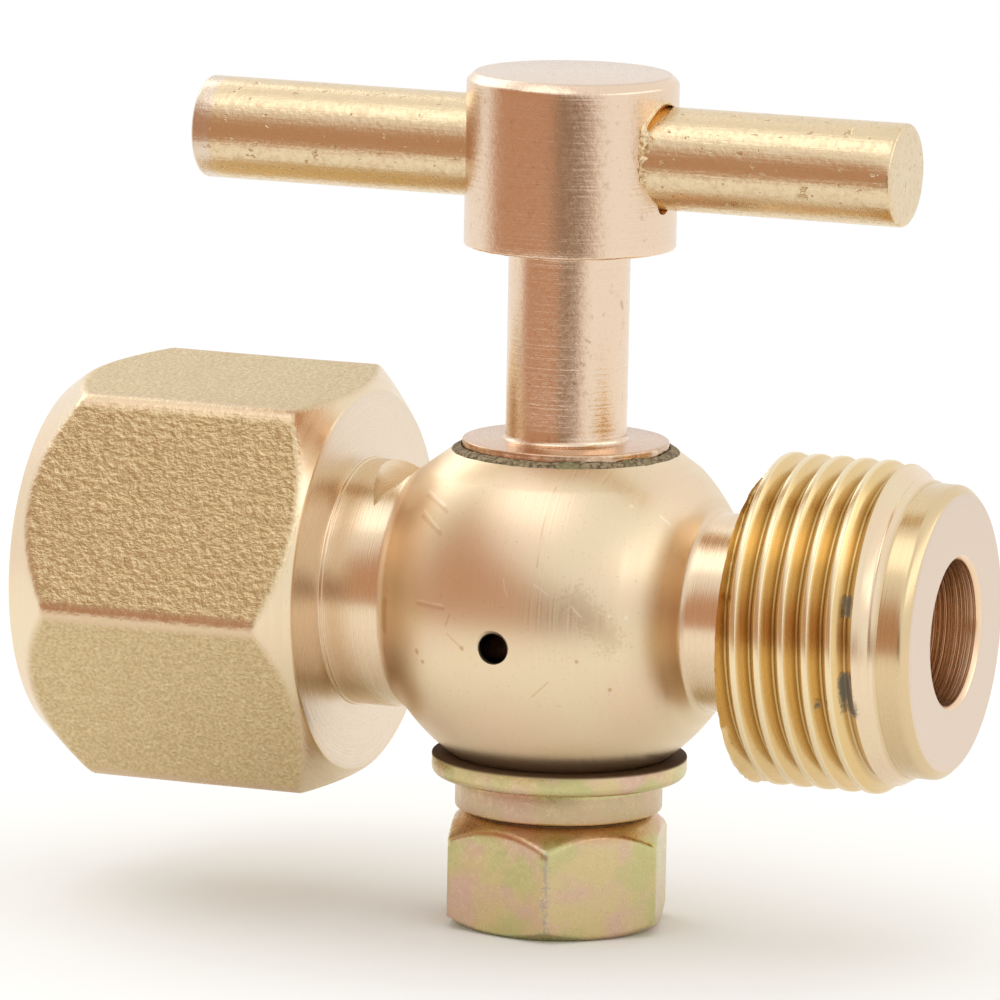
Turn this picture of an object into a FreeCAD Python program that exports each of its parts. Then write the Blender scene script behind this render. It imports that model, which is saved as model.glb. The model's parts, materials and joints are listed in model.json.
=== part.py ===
import FreeCAD, Part
import math
import os

# Three-way plug cock with a cross handle, for a gauge or drain line. Millimetres.
# X runs along the pipe, from the centre of the socket's mouth to the spigot.
# Z is parallel to the plug's axis and points up to the handle.

# Hexagon with the threaded socket
hex_across_flats = 24.0
hex_length = 18.95
hex_corner_radius = 1.0
hex_turn = 4.6              # degrees about X, from a flat on top
mouth_face_d = 22.1
mouth_chamfer_angle = 38.0  # degrees from the pipe axis
shoulder_face_d = 23.2
shoulder_chamfer_angle = 50.7
socket_thread_d = 20.0
thread_pitch = 1.5
socket_floor = 3.95          # metal between the socket and the hexagon's shoulder
socket_lead = 0.45

# Necks and ball
socket_neck_d = 15.0
socket_neck_length = 4.1
ball_d = 23.1
spigot_neck_d = 12.0
spigot_neck_length = 3.6
crown_cut = 2.46            # how far the flat land lies below the ball's top
base_cut = 2.05             # how far the flat seat of the washer lies above its bottom

# Threaded spigot
spigot_thread_d = 20.0
full_thread_length = 7.85
spigot_chamfer_angle = 30.0
nose_d = 17.7
nose_length = 1.9
nose_rim = 0.5
spigot_bore_d = 8.8
bore_lead = 0.25
drill_point_angle = 118.0

# Passages round the plug
port_d = 5.5
port_land = 5.3             # length of the narrow port between the plug and the spigot's bore
vent_d = 1.8
vent_drop = 1.28             # vent below the pipe axis

# Tapered plug, with its stem, head and threaded tail
plug_top_d = 12.55
taper_ratio = 7.0           # length for each unit of diameter
plug_rise = 0.69            # collar above the land
plug_rim = 0.12
plug_draw = 0.7             # room left under the plug for the nut to draw it down
seat_clearance = 0.03
stem_d = 7.35
stem_length = 11.77
stem_root = 0.35            # sloping corner between the stem and the collar
head_d = 12.8
head_height = 10.5
head_chamfer = 0.45
head_burr_edge = 0.15
tail_d = 8.0
tail_chamfer = 0.7
tail_recess = 0.4           # tail's end inside the nut

# Handle bar
bar_d = 6.2
bar_length = 45.0
bar_height = 5.7           # bar's axis above the underside of the head
bar_offset = -1.15           # bar's middle from the plug's axis
bar_end_chamfer = 0.25
bar_clearance = 0.02
bar_hole_lead = 0.45

# Washers and nut
turning_gap = 0.05          # between the body and the washer that turns under it
washer_d = 15.5
washer_thickness = 1.3
washer_edge_chamfer = 0.4
washer_clearance = 0.2
spring_washer_d = 12.6
spring_washer_thickness = 2.0
spring_washer_edge = 0.2
spring_washer_clearance = 0.1
split_width = 0.9
split_slope = 20.0          # degrees from the plug's axis
nut_across_flats = 12.7
nut_height = 7.1
nut_corner_radius = 0.5
nut_face_d = 11.9
nut_chamfer_angle = 30.0    # degrees from the nut's faces
nut_top_face_d = 11.1
nut_top_chamfer_angle = 42.0
nut_turn = 15.7             # degrees about Z of one corner, from -Y
nut_clearance = 0.05
nut_lead = 0.5

# Places that follow from the sizes
origin = FreeCAD.Vector(0, 0, 0)
along_x = FreeCAD.Vector(1, 0, 0)
along_y = FreeCAD.Vector(0, 1, 0)
along_z = FreeCAD.Vector(0, 0, 1)
ball_r = ball_d / 2
socket_neck_r = socket_neck_d / 2
spigot_neck_r = spigot_neck_d / 2
socket_r = socket_thread_d / 2 - 0.54127 * thread_pitch   # crests of the inside thread
socket_depth = hex_length - socket_floor
ball_start_x = hex_length + socket_neck_length
plug_x = ball_start_x + math.sqrt(ball_r**2 - socket_neck_r**2)
ball_end_x = plug_x + math.sqrt(ball_r**2 - spigot_neck_r**2)
shoulder_x = ball_end_x + spigot_neck_length
thread_end_x = shoulder_x + full_thread_length
nose_x = thread_end_x + (spigot_thread_d - nose_d) / 2 / math.tan(math.radians(spigot_chamfer_angle))
nose_face_x = nose_x + nose_length
land_z = ball_r - crown_cut
base_z = base_cut - ball_r
plug_top_z = land_z + plug_rise
plug_end_z = base_z + plug_draw
head_z = plug_top_z + stem_length
head_top_z = head_z + head_height
bar_z = head_z + bar_height
washer_top_z = base_z - turning_gap
spring_top_z = washer_top_z - washer_thickness
nut_top_z = spring_top_z - spring_washer_thickness
nut_end_z = nut_top_z - nut_height
plug_axis = FreeCAD.Vector(plug_x, 0, 0)
reach = 2.0                 # how far a cutting tool stands past the surface that it cuts


def taper_radius(z, clearance=0.0):
    return plug_top_d / 2 + clearance - (plug_top_z - z) / (2 * taper_ratio)


def outline(*runs):
    # Joins points into a closed wire; a run of three points is an arc through its middle point.
    edges = []
    last = None
    for run in runs + (runs[0][:1],):
        first = run[0]
        if last is not None and (first - last).Length > 1e-7:
            edges.append(Part.LineSegment(last, first).toShape())
        if len(run) == 3:
            edges.append(Part.Arc(*run).toShape())
        last = run[-1]
    return Part.Wire(edges)


def turned_on_x(*runs):
    # Solid of revolution about the pipe axis; each point is (x, radius).
    points = [[FreeCAD.Vector(x, 0, r) for x, r in run] for run in runs]
    return Part.Face(outline(*map(tuple, points))).revolve(origin, along_x, 360)


def turned_on_plug(*runs):
    # Solid of revolution about the plug's axis; each point is (radius, z).
    points = [[FreeCAD.Vector(plug_x + r, 0, z) for r, z in run] for run in runs]
    return Part.Face(outline(*map(tuple, points))).revolve(plug_axis, along_z, 360)


def hexagon_bar(across_flats, length, corner_radius):
    # Along Z from the origin, with a corner towards -Y and its six long edges rounded.
    corner = across_flats / math.sqrt(3)
    turns = [math.radians(60 * k) for k in range(7)]
    points = [FreeCAD.Vector(corner * math.sin(a), -corner * math.cos(a), 0) for a in turns]
    bar = Part.Face(Part.makePolygon(points)).extrude(along_z * length)
    long_edges = [e for e in bar.Edges if abs(e.Vertexes[0].Z - e.Vertexes[1].Z) > length / 2]
    return bar.makeFillet(corner_radius, long_edges)


def socket_hexagon():
    corner_r = hex_across_flats / math.sqrt(3)
    mouth_run = (corner_r - mouth_face_d / 2) / math.tan(math.radians(mouth_chamfer_angle))
    shoulder_run = (corner_r - shoulder_face_d / 2) / math.tan(math.radians(shoulder_chamfer_angle))
    bar = hexagon_bar(hex_across_flats, hex_length, hex_corner_radius)
    bar.rotate(origin, along_y, 90)
    # The bar now lies along X, with a corner towards -Y and a flat on top.
    bar.rotate(origin, along_x, hex_turn)
    envelope = turned_on_x(
        [(0, 0)],
        [(0, mouth_face_d / 2)],
        [(mouth_run, corner_r)],
        [(hex_length - shoulder_run, corner_r)],
        [(hex_length, shoulder_face_d / 2)],
        [(hex_length, 0)],
    )
    return bar.common(envelope)


def turned_body():
    return turned_on_x(
        [(socket_depth, 0)],
        [(socket_depth, socket_neck_r)],
        [(ball_start_x, socket_neck_r), (plug_x, ball_r), (ball_end_x, spigot_neck_r)],
        [(shoulder_x, spigot_neck_r)],
        [(shoulder_x, spigot_thread_d / 2)],
        [(thread_end_x, spigot_thread_d / 2)],
        [(nose_x, nose_d / 2)],
        [(nose_face_x - nose_rim, nose_d / 2)],
        [(nose_face_x, nose_d / 2 - nose_rim)],
        [(nose_face_x, 0)],
    )


def passage():
    # Socket, narrow port and spigot bore as one core along the pipe axis.
    bore_r = spigot_bore_d / 2
    port_r = port_d / 2
    bore_end_x = plug_x + taper_radius(0) + port_land
    drill_x = bore_end_x + (bore_r - port_r) / math.tan(math.radians(drill_point_angle / 2))
    return turned_on_x(
        [(-reach, 0)],
        [(-reach, socket_r + socket_lead + reach)],
        [(socket_lead, socket_r)],
        [(socket_depth, socket_r)],
        [(socket_depth, port_r)],
        [(bore_end_x, port_r)],
        [(drill_x, bore_r)],
        [(nose_face_x - bore_lead, bore_r)],
        [(nose_face_x + reach, bore_r + bore_lead + reach)],
        [(nose_face_x + reach, 0)],
    )


def plug_seat():
    # Tapered core for the plug, with the flats that face the ball above and below it.
    flat_r = math.sqrt(ball_r**2 - min(land_z, -base_z)**2) + reach
    top = ball_r + reach
    return turned_on_plug(
        [(0, -top)],
        [(flat_r, -top)],
        [(flat_r, base_z)],
        [(taper_radius(base_z, seat_clearance), base_z)],
        [(taper_radius(land_z, seat_clearance), land_z)],
        [(flat_r, land_z)],
        [(flat_r, top)],
        [(0, top)],
    )


def cock_body():
    body = socket_hexagon().fuse(turned_body()).removeSplitter()
    vent_start = FreeCAD.Vector(plug_x, 0, -vent_drop)
    vent = Part.makeCylinder(vent_d / 2, ball_r + reach, vent_start, -along_y)
    return body.cut(passage()).cut(plug_seat()).cut(vent)


def taper_plug():
    stem_r = stem_d / 2
    head_r = head_d / 2
    tail_r = tail_d / 2
    tail_end_z = nut_end_z + tail_recess
    rim_z = plug_top_z - plug_rim
    plug = turned_on_plug(
        [(0, tail_end_z)],
        [(tail_r - tail_chamfer, tail_end_z)],
        [(tail_r, tail_end_z + tail_chamfer)],
        [(tail_r, plug_end_z)],
        [(taper_radius(plug_end_z), plug_end_z)],
        [(taper_radius(rim_z), rim_z)],
        [(taper_radius(rim_z) - plug_rim, plug_top_z)],
        [(stem_r + stem_root, plug_top_z)],
        [(stem_r, plug_top_z + stem_root)],
        [(stem_r, head_z)],
        [(head_r - head_burr_edge, head_z)],
        [(head_r, head_z + head_burr_edge)],
        [(head_r, head_top_z - head_chamfer)],
        [(head_r - head_chamfer, head_top_z)],
        [(0, head_top_z)],
    )
    # Ports of the plug: straight through along the pipe, and one branch to the side away from the vent.
    port_start = FreeCAD.Vector(plug_x - plug_top_d, 0, 0)
    through_port = Part.makeCylinder(port_d / 2, 2 * plug_top_d, port_start, along_x)
    branch_port = Part.makeCylinder(port_d / 2, plug_top_d, plug_axis, along_y)
    return plug.cut(through_port).cut(branch_port).cut(bar_hole())


def bar_hole():
    # Hole across the head, opened out where it leaves the round side.
    hole_r = bar_d / 2 + bar_clearance
    side = head_d / 2
    points = [
        (-side - reach, 0),
        (-side - reach, hole_r + bar_hole_lead + reach),
        (bar_hole_lead - side, hole_r),
        (side - bar_hole_lead, hole_r),
        (side + reach, hole_r + bar_hole_lead + reach),
        (side + reach, 0),
    ]
    hole = turned_on_x(*[[point] for point in points])
    hole.translate(FreeCAD.Vector(plug_x, 0, bar_z))
    return hole


def handle_bar():
    bar_r = bar_d / 2
    start = -bar_length / 2
    end = bar_length / 2
    bar = turned_on_x(
        [(start, 0)],
        [(start, bar_r - bar_end_chamfer)],
        [(start + bar_end_chamfer, bar_r)],
        [(end - bar_end_chamfer, bar_r)],
        [(end, bar_r - bar_end_chamfer)],
        [(end, 0)],
    )
    bar.translate(FreeCAD.Vector(plug_x + bar_offset, 0, bar_z))
    return bar


def thrust_washer():
    # Stamped washer: sharp edge above, sloping edge below.
    hole_r = tail_d / 2 + washer_clearance
    outer_r = washer_d / 2
    return turned_on_plug(
        [(hole_r, spring_top_z)],
        [(outer_r - washer_edge_chamfer, spring_top_z)],
        [(outer_r, spring_top_z + washer_edge_chamfer)],
        [(outer_r, washer_top_z)],
        [(hole_r, washer_top_z)],
    )


def spring_washer():
    # Split lock washer, flattened by the nut, with its slanted gap at the back.
    hole_r = tail_d / 2 + spring_washer_clearance
    outer_r = spring_washer_d / 2
    edge = spring_washer_edge
    ring = turned_on_plug(
        [(hole_r, nut_top_z)],
        [(outer_r - edge, nut_top_z)],
        [(outer_r, nut_top_z + edge)],
        [(outer_r, spring_top_z - edge)],
        [(outer_r - edge, spring_top_z)],
        [(hole_r, spring_top_z)],
    )
    middle = FreeCAD.Vector(plug_x, 0, (nut_top_z + spring_top_z) / 2)
    tall = 4 * spring_washer_thickness
    gap = Part.makeBox(split_width, outer_r + reach, tall)
    gap.translate(middle - FreeCAD.Vector(split_width / 2, 0, tall / 2))
    gap.rotate(middle, along_y, split_slope)
    return ring.cut(gap)


def tension_nut():
    corner_r = nut_across_flats / math.sqrt(3)
    face_r = nut_face_d / 2
    top_face_r = nut_top_face_d / 2
    bore_r = tail_d / 2 + nut_clearance
    rise = (corner_r - face_r) * math.tan(math.radians(nut_chamfer_angle))
    drop = (corner_r - top_face_r) * math.tan(math.radians(nut_top_chamfer_angle))
    nut = hexagon_bar(nut_across_flats, nut_height, nut_corner_radius)
    nut.rotate(origin, along_z, nut_turn)
    nut.translate(FreeCAD.Vector(plug_x, 0, nut_end_z))
    envelope = turned_on_plug(
        [(bore_r + nut_lead, nut_end_z)],
        [(face_r, nut_end_z)],
        [(corner_r, nut_end_z + rise)],
        [(corner_r, nut_top_z - drop)],
        [(top_face_r, nut_top_z)],
        [(bore_r + nut_lead, nut_top_z)],
        [(bore_r, nut_top_z - nut_lead)],
        [(bore_r, nut_end_z + nut_lead)],
    )
    return nut.common(envelope)


pieces = {
    "cock_body": cock_body(),
    "taper_plug": taper_plug(),
    "handle_bar": handle_bar(),
    "thrust_washer": thrust_washer(),
    "spring_washer": spring_washer(),
    "tension_nut": tension_nut(),
}
os.makedirs("parts", exist_ok=True)
for name, shape in pieces.items():
    shape.exportStep("parts/" + name + ".step")
    box = shape.BoundBox
    print(name, shape.isValid(), len(shape.Solids), round(shape.Volume, 1), [
        round(v, 3) for v in (box.XMin, box.XMax, box.YMin, box.YMax, box.ZMin, box.ZMax)
    ])
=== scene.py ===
import bpy
import bmesh
import json
from math import asin, atan2, ceil, cos, degrees, hypot, pi, radians, sin, sqrt, tan
from mathutils import Matrix, Vector, noise


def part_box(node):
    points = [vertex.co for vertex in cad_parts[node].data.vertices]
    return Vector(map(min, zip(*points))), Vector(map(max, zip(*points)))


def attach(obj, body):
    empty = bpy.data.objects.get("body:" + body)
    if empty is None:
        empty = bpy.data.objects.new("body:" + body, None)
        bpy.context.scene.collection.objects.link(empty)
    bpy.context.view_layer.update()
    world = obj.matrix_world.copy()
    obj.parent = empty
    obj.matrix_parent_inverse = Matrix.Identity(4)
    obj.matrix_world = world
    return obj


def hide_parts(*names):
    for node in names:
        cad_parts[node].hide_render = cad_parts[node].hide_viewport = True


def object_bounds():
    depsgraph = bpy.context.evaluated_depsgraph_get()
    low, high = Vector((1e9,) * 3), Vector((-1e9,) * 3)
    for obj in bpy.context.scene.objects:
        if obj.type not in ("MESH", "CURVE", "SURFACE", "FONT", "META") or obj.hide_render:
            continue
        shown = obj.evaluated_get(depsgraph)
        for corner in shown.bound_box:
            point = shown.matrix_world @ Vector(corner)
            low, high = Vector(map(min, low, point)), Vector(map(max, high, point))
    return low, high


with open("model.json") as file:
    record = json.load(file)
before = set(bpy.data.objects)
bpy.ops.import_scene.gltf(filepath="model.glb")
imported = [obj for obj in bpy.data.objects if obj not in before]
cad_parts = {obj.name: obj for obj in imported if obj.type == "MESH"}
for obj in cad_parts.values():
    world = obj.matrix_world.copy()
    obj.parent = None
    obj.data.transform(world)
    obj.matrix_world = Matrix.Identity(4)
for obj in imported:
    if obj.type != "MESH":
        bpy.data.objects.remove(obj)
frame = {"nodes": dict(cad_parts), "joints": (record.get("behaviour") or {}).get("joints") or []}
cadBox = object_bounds()
mm = 0.001                                      # meshes are drawn in millimetres and scaled at the end
plugX = frame["joints"][0]["pos_m"][0] / mm     # the plug's axis along the pipe
pipeLine = {"cent": (0, 0, 0), "axis": (1, 0, 0)}
plugLine = {"cent": (plugX, 0, 0), "axis": (0, 0, 1)}
print("frame loaded:", ", ".join(sorted(frame["nodes"])))


def boxOf(node):
    low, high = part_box(node)
    return low / mm, high / mm


def halfWidth(node):
    low, high = boxOf(node)
    return (high.x - low.x) / 2


def middleHeight(node):
    low, high = boxOf(node)
    return (low.z + high.z) / 2


def onPipe(along, radius):
    return along, 0, radius


def onPlug(radius, height):
    return plugX + radius, 0, height


def aboutPlug(angle):
    axis = Matrix.Translation((plugX, 0, 0))
    return axis @ Matrix.Rotation(angle, 4, "Z") @ axis.inverted()


def smooth(low, high, value):
    t = min(max((value - low) / (high - low), 0), 1)
    return t * t * (3 - 2 * t)


def hump(rise, fall, value):
    # 0, then 1, then 0 again
    return smooth(*rise, value) * (1 - smooth(*fall, value))


def softMin(a, b, width):
    # smaller of two radii with a rounded change-over, and the share of the second one
    share = min(max(0.5 + 0.5 * (a - b) / width, 0), 1)
    return a + (b - a) * share - width * share * (1 - share), share


def everything(bm):
    return bm.verts[:] + bm.edges[:] + bm.faces[:]


def moveAll(bm, matrix):
    bmesh.ops.transform(bm, matrix=matrix, verts=bm.verts[:])


def spinRound(bm, line, steps):
    bmesh.ops.spin(bm, geom=everything(bm), angle=2 * pi, steps=steps, use_merge=True, **line)


def drawRun(bm, rows, place, start=None):
    # rows are (first, second, rounding, cuts on the run that leads to the row)
    corners = []
    last = start
    for first, second, rounding, cuts in rows:
        vert = bm.verts.new(place(first, second))
        if last:
            edge = bm.edges.new((last, vert))
            for left in range(cuts, 0, -1):     # equal lengths
                last = bmesh.utils.edge_split(edge, last, 1 / (left + 1))[1]
                edge = bm.edges.get((last, vert))
        if rounding:
            corners.append((vert, rounding))
        last = vert
    return corners, last


def roundOff(bm, corners, segments=4):
    for vert, size in corners:
        bmesh.ops.bevel(bm, geom=[vert], offset=size, offset_type="OFFSET", segments=segments,
                        profile=0.5, affect="VERTICES", material=-1)


def sweepArc(bm, vert, centre, angle, steps):
    # lengthens a wire by an arc and gives its last vertex
    swept = bmesh.ops.spin(bm, geom=[vert], cent=centre, axis=(0, 1, 0), angle=angle, steps=steps)
    return [v for v in swept["geom_last"] if isinstance(v, bmesh.types.BMVert)][0]


def closeRun(bm, last):
    bm.verts.ensure_lookup_table()
    bm.edges.new((last, bm.verts[0]))


def weld(bm):
    bmesh.ops.remove_doubles(bm, verts=bm.verts[:], dist=0.002)
    bmesh.ops.recalc_face_normals(bm, faces=bm.faces[:])


def turn(rows, place, line, steps, closed=False, segments=4):
    # a wire of a few corners, rounded and spun into a turned shape
    bm = bmesh.new()
    corners, last = drawRun(bm, rows, place)
    if closed:
        closeRun(bm, last)
    roundOff(bm, corners, segments)
    spinRound(bm, line, steps)
    weld(bm)
    return bm


def toMesh(bm, name):
    mesh = bpy.data.meshes.new(name)
    bm.to_mesh(mesh)
    bm.free()
    return mesh


def addObject(name, data):
    made = bpy.data.objects.new(name, data)
    bpy.context.scene.collection.objects.link(made)
    return made


def addTo(bm, other):
    mesh = toMesh(other, "shape")
    bm.from_mesh(mesh)
    bpy.data.meshes.remove(mesh)


def cutAway(bm, cutters):
    # exact boolean on helper objects, taken back as a new mesh
    helpers = [addObject("helper", toMesh(shape, "helper")) for shape in [bm] + cutters]
    for cutter in helpers[1:]:
        cut = helpers[0].modifiers.new("cut", "BOOLEAN")
        cut.operation = "DIFFERENCE"
        cut.solver = "EXACT"
        cut.object = cutter
    graph = bpy.context.evaluated_depsgraph_get()
    mesh = bpy.data.meshes.new_from_object(helpers[0].evaluated_get(graph))
    result = bmesh.new()
    result.from_mesh(mesh)
    bpy.data.meshes.remove(mesh)
    for helper in helpers:
        bpy.data.meshes.remove(helper.data)
    return result


def hexRadius(angle, flats, corner):
    # outline of a hexagon with rounded corners; a flat faces angle 0
    half = flats / 2
    off = abs((angle + pi / 6) % (pi / 3) - pi / 6)
    centre = (half - corner) / cos(pi / 6)
    if half * tan(off) < centre / 2:
        return half / cos(off)
    back = pi / 6 - off
    return centre * cos(back) + sqrt(corner ** 2 - (centre * sin(back)) ** 2)


def finishPiece(bm, name, body, finish, node=None, sharp=32):
    bmesh.ops.scale(bm, vec=(mm, mm, mm), verts=bm.verts[:])
    mesh = toMesh(bm, name)
    mesh.shade_smooth()
    mesh.set_sharp_from_angle(angle=radians(sharp))
    mesh.materials.append(finish)
    piece = addObject(name, mesh)
    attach(piece, body)
    if node:
        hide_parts(node)
    print("piece", name, "triangles", sum(len(p.vertices) - 2 for p in mesh.polygons))


work = {}                                       # holds the node tree that the helpers add to


def useTree(owner):
    owner.use_nodes = True
    owner.node_tree.nodes.clear()
    work["tree"] = owner.node_tree


def put(kind, sockets=None, **settings):
    # sockets are given by name or number, a socket links and a value is set
    tree = work["tree"]
    made = tree.nodes.new("ShaderNode" + kind)
    for name, value in settings.items():
        setattr(made, name, value)
    for key, value in (sockets or {}).items():
        if isinstance(value, bpy.types.NodeSocket):
            tree.links.new(value, made.inputs[key])
        else:
            made.inputs[key].default_value = value
    return made


def maths(operation, a, b=0.0, clamp=False):
    return put("Math", {0: a, 1: b}, operation=operation, use_clamp=clamp).outputs[0]


def ramp(value, low, high, start=0.0, end=1.0):
    sockets = {"Value": value, "From Min": low, "From Max": high, "To Min": start, "To Max": end}
    return put("MapRange", sockets, interpolation_type="SMOOTHSTEP").outputs[0]


def blendColor(share, a, b):
    return put("Mix", {0: share, 6: a, 7: b}, data_type="RGBA").outputs[2]


def blendValue(share, a, b):
    return put("Mix", {0: share, 2: a, 3: b}).outputs[0]


def both(a, b):
    return maths("MULTIPLY", a, b)


def without(share):
    return maths("SUBTRACT", 1.0, share)


def layered(color, tones, layers):
    # each layer is a share and the name of the tone that it lays over the ones before
    for share, name in layers:
        color = blendColor(share, color, tones[name])
    return color


def band(value, low, high, soft):
    # 1 between two limits, 0 outside them
    return both(ramp(value, low - soft, low), ramp(value, high, high + soft, 1.0, 0.0))


def vectorValue(operation, a, b):
    return put("VectorMath", {0: a, 1: b}, operation=operation).outputs["Value"]


def attributeShare(name):
    return put("Attribute", attribute_name=name).outputs["Fac"]


def nearLine(where, start, end):
    # distance from a straight mark between two points, or from one spot
    if end is None:
        return vectorValue("DISTANCE", where, start)
    run = Vector(end) - Vector(start)
    out = put("VectorMath", {0: where, 1: start}, operation="SUBTRACT").outputs[0]
    along = vectorValue("DOT_PRODUCT", out, run)
    share = maths("DIVIDE", along, run.length_squared, True)
    foot = put("VectorMath", {0: run, "Scale": share}, operation="SCALE").outputs[0]
    return vectorValue("DISTANCE", out, foot)


markEdge = (0.1, 0.6)                           # a mark starts at the first share and is full at the second


def markShare(where, marks, edge):
    # 1 on a list of (start, end, half width), with a ragged edge
    share = 0.0
    for start, end, width in marks:
        away = nearLine(where, start, end)
        inside = put("Math", {0: away, 1: -1 / width, 2: 1.0}, operation="MULTIPLY_ADD", use_clamp=True)
        share = maths("MAXIMUM", share, inside.outputs[0])
    return ramp(maths("ADD", share, edge), *markEdge)


def raggedBy(grain, middle, reach):
    return both(maths("SUBTRACT", grain, middle), reach)


def noiseAt(where, scale, detail=2.0, rough=0.5, stretch=None):
    if stretch:
        where = put("Mapping", {"Vector": where, "Scale": stretch}).outputs[0]
    sockets = {"Vector": where, "Scale": scale, "Detail": detail, "Roughness": rough}
    return put("TexNoise", sockets).outputs["Fac"]


def glossBy(grain, low, high, gloss):
    # uneven with the grain
    return maths("ADD", ramp(grain, 0.3, 0.7, low, high), gloss)


def startFinish(name):
    finish = bpy.data.materials.new(name)
    useTree(finish)
    place = put("TexCoord").outputs["Object"]
    where = put("Mapping", {"Vector": place, "Scale": (1 / mm, 1 / mm, 1 / mm)}).outputs[0]
    return finish, where


def endFinish(color, roughness, height, depth, metal=1.0, specular=0.5):
    # depth of the bumps is in millimetres
    normal = put("Bump", {"Height": height, "Strength": 1.0, "Distance": depth * mm}).outputs[0]
    sockets = {"Base Color": color, "Roughness": roughness, "Metallic": metal,
               "Specular IOR Level": specular, "Normal": normal}
    shader = put("BsdfPrincipled", sockets)
    put("OutputMaterial", {"Surface": shader.outputs[0]})


def ringLines(along, radius, scale, detail):
    # turning marks: they follow the length of a shaft and the radius of a face
    sockets = {"W": maths("ADD", along, radius), "Scale": scale, "Detail": detail}
    return put("TexNoise", sockets, noise_dimensions="1D").outputs["Fac"]


def axisSplit(where, first, second, centre):
    # two coordinates across an axis give the distance from it
    parts = put("SeparateXYZ", {0: where}).outputs
    across = maths("SUBTRACT", parts[first], centre)
    radius = maths("SQRT", maths("ADD", maths("POWER", across, 2.0), maths("POWER", parts[second], 2.0)))
    return parts, radius


# body finish: raw flats on the hexagon, turned brass elsewhere
brassTones = {
    "yellow": (0.82, 0.675, 0.46, 1), "rose": (0.83, 0.65, 0.455, 1), "corner": (0.69, 0.515, 0.34, 1),
    "rawLight": (0.73, 0.58, 0.335, 1), "rawDark": (0.54, 0.40, 0.205, 1), "speck": (0.88, 0.76, 0.54, 1),
    # the thread's root tone is painted shade in the groove, its crest tone a painted highlight
    "root": (0.57, 0.38, 0.15, 1), "flank": (0.77, 0.56, 0.265, 1), "crest": (0.86, 0.71, 0.46, 1),
    # the nose's side gets a darker copy of the brass, a painted shade
    "shoulder": (0.79, 0.655, 0.51, 1), "noseFace": (0.72, 0.585, 0.475, 1), "paintedNoseShade": (0.71, 0.545, 0.32, 1),
    "bored": (0.86, 0.61, 0.41, 1), "stain": (0.58, 0.36, 0.17, 1), "speckAndHighlight": (0.95, 0.86, 0.68, 1),
    "paintedGapShade": (0.30, 0.18, 0.085, 1), "grime": (0.19, 0.15, 0.10, 1), "shade": (0.57, 0.43, 0.26, 1),
    # the vent tone is painted shade: the vent's inside goes near black
    "vent": (0.07, 0.045, 0.025, 1),
    "plainGloss": 0.24, "ballGloss": 0.34, "rawGloss": 0.38, "cornerGloss": 0.3, "shoulderGloss": 0.27,
    "noseGloss": 0.34, "grimeGloss": 0.7,
    # where the finishes change, in millimetres from the ball's middle
    "ballAt": (11.3, 11.7), "ballSoft": 0.15, "ventDepth": (11.1, 11.4), "paintedShadeDepth": (10.0, 11.9),
    # the same from the pipe's axis
    "threadFoot": (8.6, 8.8), "rootAt": (9.12, 9.5), "crestAt": (9.86, 9.99), "noseFaceAt": (4.6, 4.7),
    "noseSideAt": (8.2, 8.4), "boreAt": (4.5, 4.65), "shoulderAt": (7.65, 11.5), "shoulderSoft": 0.08,
    "coarseFlatAt": (11.6, 11.85),
    # the vent's line and wall, and the height of the painted shade under the ball
    "ventFrom": -6.5, "ventTo": -12.0, "ventWall": (0.95, 1.05), "paintedShadeAt": (-9.35, -8.4),
    # scale, detail and roughness of the grain, and what it does to the surface
    "toneGrain": (0.2, 1.0), "ringGrain": (11.0, 2.0), "fineGrain": (4.4, 2.0, 0.6),
    "coarseGrain": (2.5, 3.0, 0.62), "coarseStretch": (0.85, 1.05, 1.05), "bump": 0.2, "ringBump": 0.12,
    # strength of each mark
    "speckShare": 0.3, "freckleShare": 0.35, "cornerShare": 0.8, "scratchShare": 0.34, "stainShare": 0.5,
    "pitShare": 0.75, "shadeShare": 0.4, "paintedHighlightShare": 0.55,
}
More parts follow.
